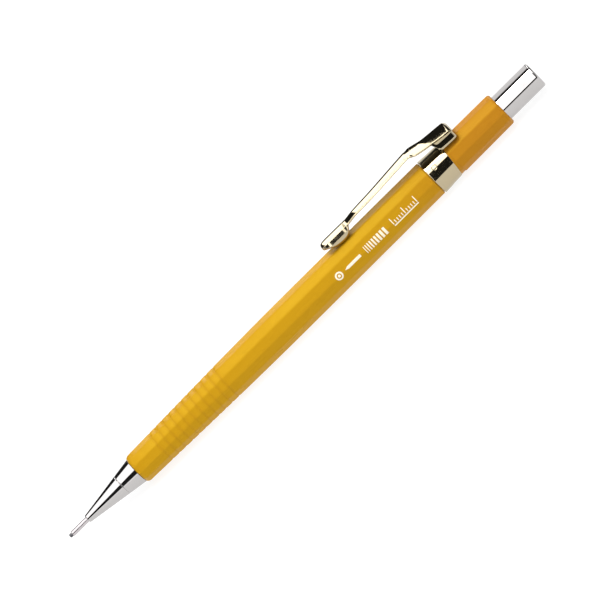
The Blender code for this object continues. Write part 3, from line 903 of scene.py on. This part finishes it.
def clip_slice(station):
    """One slice of the clip: crowned top, rolled edges, side walls and the underside."""
    half = curve_through(CLIP_WIDTH, station) / 2
    top = curve_through(CLIP_TOP, station)
    crown = curve_through(CLIP_CROWN, station) * min(1.0, half)
    boat = station < BOAT_REAR
    flanged = station > FLANGE_FRONT
    edge = 0.14 if boat else 0.24
    edge = min(edge if station < 115.12 else 0.34, half * 0.4)
    flat = half - edge
    side = [(flat * step / 6, top + crown * (1 - (step / 6) ** 2)) for step in range(7)]
    side += rounded_edge(half, top, edge, math.atan(2 * crown / flat))
    wall, level = side[-1]
    if boat:
        base = min(curve_through(CLIP_BASE, station), level - 0.12)
        deep = level - base
        stripe = min(0.85, deep * 0.5)
        side += [(wall + stripe * 0.2, level - stripe * 0.5), (wall + stripe * 0.42, level - stripe)]
        widest = wall + stripe * 0.42
        foot = widest * 0.66
        for step in range(1, 7):
            angle = math.pi / 2 * step / 6
            across = foot + (widest - foot) * math.cos(angle) ** 0.8
            side.append((across, level - stripe - (deep - stripe) * math.sin(angle) ** 0.9))
        inner = foot - 0.3
        roof = side[-1][1] - 0.02
    elif flanged:
        base = min(curve_through(FLANGE_BASE, station), level - 0.12)
        deep = level - base
        for step in range(1, 8):
            side.append((wall + 0.31 * deep * step / 8, level - deep * step / 8))
        last = side[-1][0]
        side += [(last + 0.02, base + 0.05), (last - 0.04, base + 0.01)]
        inner = last - SHEET
        roof = base + 0.02 if station > END_WALL else max(base, top - SHEET)
    else:
        base = level - 0.22
        for step in range(1, 8):
            side.append((wall + 0.03, level - 0.22 * step / 8))
        side += [(wall, base), (wall - 0.05, base - 0.02)]
        inner = wall - SHEET * 0.5
        roof = top - SHEET
    bottom = side[-1][1]
    side += [(side[-1][0] - 0.08, bottom - 0.01), (inner + 0.08, bottom - 0.01)]
    side += [(inner, min(bottom, roof)), (inner, roof), (inner * 0.5, roof)]
    left = [(-across, height) for across, height in reversed(side[1:])]
    return [place(station, across, height) for across, height in side + left]


def make_clip():
    stations = [85.9, 85.93, 86.0, 86.1, 86.25, 86.45, 86.7, 87.0, 87.3]
    at = 87.6
    while at < 98.0:
        stations.append(at)
        at += 0.3 if at < 92 else 0.15
    stations += [98.5, 99.2, 100.0, 102.0, 104.5, 107.0, 109.5, 111.5]
    at = 112.2
    while at < 124.0:
        stations.append(at)
        at += 0.15
    stations += [124.2, 124.4, 124.55, 124.6, 124.75, 124.8, 124.9, 125.0, 125.06, 125.1]
    stations = [at for at in stations if min(abs(at - fold) for fold in FOLDS) > 0.035]
    stations = sorted(stations + list(FOLDS))
    rings = [clip_slice(station) for station in stations]
    finish_mesh(
        "clip_strip", skin(rings, False), MATERIALS["clip"], "clip",
        ["clip_arm"], sharp=20, creases=FOLDS,
    )
    # A near-black sheet just under the clip's roof, as painted shade inside the fold of the clip
    # root.
    shade_sheet = []
    for station in (113.9, 115.2, 117.0, 119.0, 121.0, 123.0, 124.4):
        high = curve_through(CLIP_TOP, station) - SHEET - 0.03
        wide = curve_through(CLIP_WIDTH, station) / 2 - 0.28
        shape = [(-wide, high - 0.12), (wide, high - 0.12), (wide, high)]
        shape += [(0, high + 0.02), (-wide, high)]
        shade_sheet.append([place(station, across, height) for across, height in shape])
    finish_mesh("clip_shade_sheet", skin(shade_sheet, False), MATERIALS["shade_sheet"], "clip")


# ----------------------------------------------------- floor, light and camera

VIEW_AZIMUTH = 4.5
VIEW_ELEVATION = 30.0
IMAGE_TILT = 44.81
CAMERA_DISTANCE = 1.1
FRAME_WIDTH = 0.13396
FRAME_SHIFT = (-0.0033, 0.0103)
SENSOR = 36.0
FLOOR_DROP = 0.00002
KEY_AZIMUTH = -10
KEY_ELEVATION = 84
KEY_DISTANCE = 0.9
KEY_SIZE = 0.38
KEY_POWER = 2.6
KEY_COLOUR = (1.0, 0.98, 0.94)


def make_floor():
    builder = bmesh.new()
    bmesh.ops.create_grid(builder, x_segments=24, y_segments=24, size=3.0)
    mesh = bpy.data.meshes.new("floor")
    builder.to_mesh(mesh)
    builder.free()
    floor = bpy.data.objects.new("floor", mesh)
    bpy.context.scene.collection.objects.link(floor)
    floor.location.z = -FLOOR_DROP
    material = new_material("floor_white", (0.22, 0.22, 0.22), 0.7, Specular_IOR_Level=0.1)
    shader = material.node_tree.nodes["Principled BSDF"]
    shader.inputs["Emission Color"].default_value = (1, 1, 1, 1)
    shader.inputs["Emission Strength"].default_value = 0.86
    mesh.materials.append(material)


def world_math(tree, operation, first, second=0.0, clamp=False):
    node = tree.nodes.new("ShaderNodeMath")
    node.operation = operation
    node.use_clamp = clamp
    for target, value in zip(node.inputs, (first, second)):
        if isinstance(value, bpy.types.NodeSocket):
            tree.links.new(value, target)
        else:
            target.default_value = value
    return node.outputs["Value"]


def world_ramp(tree, value, stops):
    """Brightness along a value, from (position, brightness) stops."""
    node = tree.nodes.new("ShaderNodeValToRGB")
    ramp = node.color_ramp
    while len(ramp.elements) < len(stops):
        ramp.elements.new(0.5)
    for element, (position, level) in zip(ramp.elements, stops):
        element.position = position
        element.color = (level, level, level, 1)
    tree.links.new(value, node.inputs["Fac"])
    return node.outputs["Color"]


CARD = 2.2
BRIGHT = 3.4
GAP = 0.02
EDGE_GAIN = 300.0
OPEN = ((0, 0.40), (50, 0.70), (105, 0.06))
# The studio in zones along X, each with the X direction it starts at, its edge's slant, the
# blur of its joins in degrees, and the brightness of the dome from each angle over the pencil
# on, from the camera's side (0) to the far side (180). The zones are fitted to the plated
# parts as this scene's camera sees them, so their reflections fall elsewhere in other views.
STUDIO = (
    (-1.0, 0.0, 24, OPEN),
    (-0.52, 0.0, 2, ((0, 1.5), (9, GAP), (46, CARD), (122, GAP))),
    (-0.142, 0.0, 2, ((0, GAP), (9, BRIGHT), (60, GAP), (116, BRIGHT), (160, GAP))),
    (-0.078, 0.0, 2, ((0, GAP), (35, BRIGHT), (98, GAP), (118, BRIGHT), (160, GAP))),
    (-0.03, 0.0, 2, ((0, GAP), (11, CARD), (94, GAP), (118, 1.15))),
    (0.006, 0.0, 2, ((0, GAP), (54, BRIGHT), (97, GAP))),
    (0.172, -0.0015, 2, ((0, GAP), (54, BRIGHT), (97, GAP), (112, BRIGHT), (164, GAP))),
    (0.43, 0.0, 24, OPEN),
)


def studio_stops(blocks, blur):
    """Ramp stops for blocks of even brightness with blurred joins, over 180 degrees."""
    stops = [(0.0, blocks[0][1])]
    for (_, before), (angle, level) in zip(blocks, blocks[1:]):
        stops += [((angle - blur / 2) / 180, before), ((angle + blur / 2) / 180, level)]
    return stops


def make_world():
    """The dome of the STUDIO table: white cards and dark gaps, which the plated parts mirror."""
    world = bpy.data.worlds.new("studio")
    world.use_nodes = True
    tree = world.node_tree
    coords = tree.nodes.new("ShaderNodeTexCoord")
    split = tree.nodes.new("ShaderNodeSeparateXYZ")
    tree.links.new(coords.outputs["Generated"], split.inputs["Vector"])
    across = world_math(tree, "MULTIPLY", split.outputs["Y"], -1.0)
    climb = world_math(tree, "ARCTAN2", split.outputs["Z"], across)
    climb = world_math(tree, "DIVIDE", climb, math.pi)
    colour = None
    for edge, slant, blur, blocks in STUDIO:
        zone = world_ramp(tree, climb, studio_stops(blocks, blur))
        if colour is None:
            colour = zone
            continue
        beyond = world_math(tree, "SUBTRACT", climb, 150 / 180)
        tilted = world_math(tree, "MAXIMUM", beyond, -30 / 180)
        lean = world_math(tree, "MULTIPLY", tilted, slant * 180)
        leaned = world_math(tree, "ADD", split.outputs["X"], lean)
        past = world_math(tree, "SUBTRACT", leaned, edge)
        inside = world_math(tree, "MULTIPLY", past, EDGE_GAIN, clamp=True)
        mix = tree.nodes.new("ShaderNodeMix")
        mix.data_type = "RGBA"
        tree.links.new(inside, mix.inputs[0])
        tree.links.new(colour, mix.inputs[6])
        tree.links.new(zone, mix.inputs[7])
        colour = mix.outputs[2]
    tree.links.new(colour, tree.nodes["Background"].inputs["Color"])
    bpy.context.scene.world = world


def direction(azimuth, elevation):
    """Unit vector from the pencil towards an azimuth and elevation in degrees."""
    around, up = math.radians(azimuth), math.radians(elevation)
    level = math.cos(up)
    return Vector((math.sin(around) * level, -math.cos(around) * level, math.sin(up)))


def make_key_light():
    data = bpy.data.lights.new("key", "AREA")
    data.shape = "DISK"
    data.size = KEY_SIZE
    data.energy = KEY_POWER
    data.color = KEY_COLOUR
    lamp = bpy.data.objects.new("key", data)
    bpy.context.scene.collection.objects.link(lamp)
    lamp.location = direction(KEY_AZIMUTH, KEY_ELEVATION) * KEY_DISTANCE
    lamp.rotation_euler = lamp.location.to_track_quat("Z", "Y").to_euler()


def make_camera():
    """A camera at the viewing angle, rolled until the pencil lies at IMAGE_TILT."""
    back = direction(VIEW_AZIMUTH, VIEW_ELEVATION)
    right = Vector((0, 0, 1)).cross(back).normalized()
    above = back.cross(right)
    shown = math.atan2(above.x, right.x)
    turn = math.radians(IMAGE_TILT) - shown
    new_right = right * math.cos(turn) - above * math.sin(turn)
    new_up = right * math.sin(turn) + above * math.cos(turn)
    offset = new_right * FRAME_SHIFT[0] + new_up * FRAME_SHIFT[1]
    centre = place(LENGTH / 2) + offset * FRAME_WIDTH
    data = bpy.data.cameras.new("camera")
    data.sensor_width = SENSOR
    data.lens = SENSOR * CAMERA_DISTANCE / FRAME_WIDTH
    data.clip_start = 0.01
    data.clip_end = 20.0
    camera = bpy.data.objects.new("camera", data)
    bpy.context.scene.collection.objects.link(camera)
    rotation = Matrix((new_right, new_up, back)).transposed().to_4x4()
    camera.matrix_world = Matrix.Translation(centre + back * CAMERA_DISTANCE) @ rotation
    bpy.context.scene.camera = camera


make_camera()
make_floor()
make_world()
make_key_light()
make_barrel()
make_printing()
make_tip()
make_leads()
make_jaws()
make_chuck()
make_spring()
make_sleeve_and_tube()
make_eraser()
make_cap()
make_band()
make_clip()
bpy.context.scene.view_settings.view_transform = "Standard"
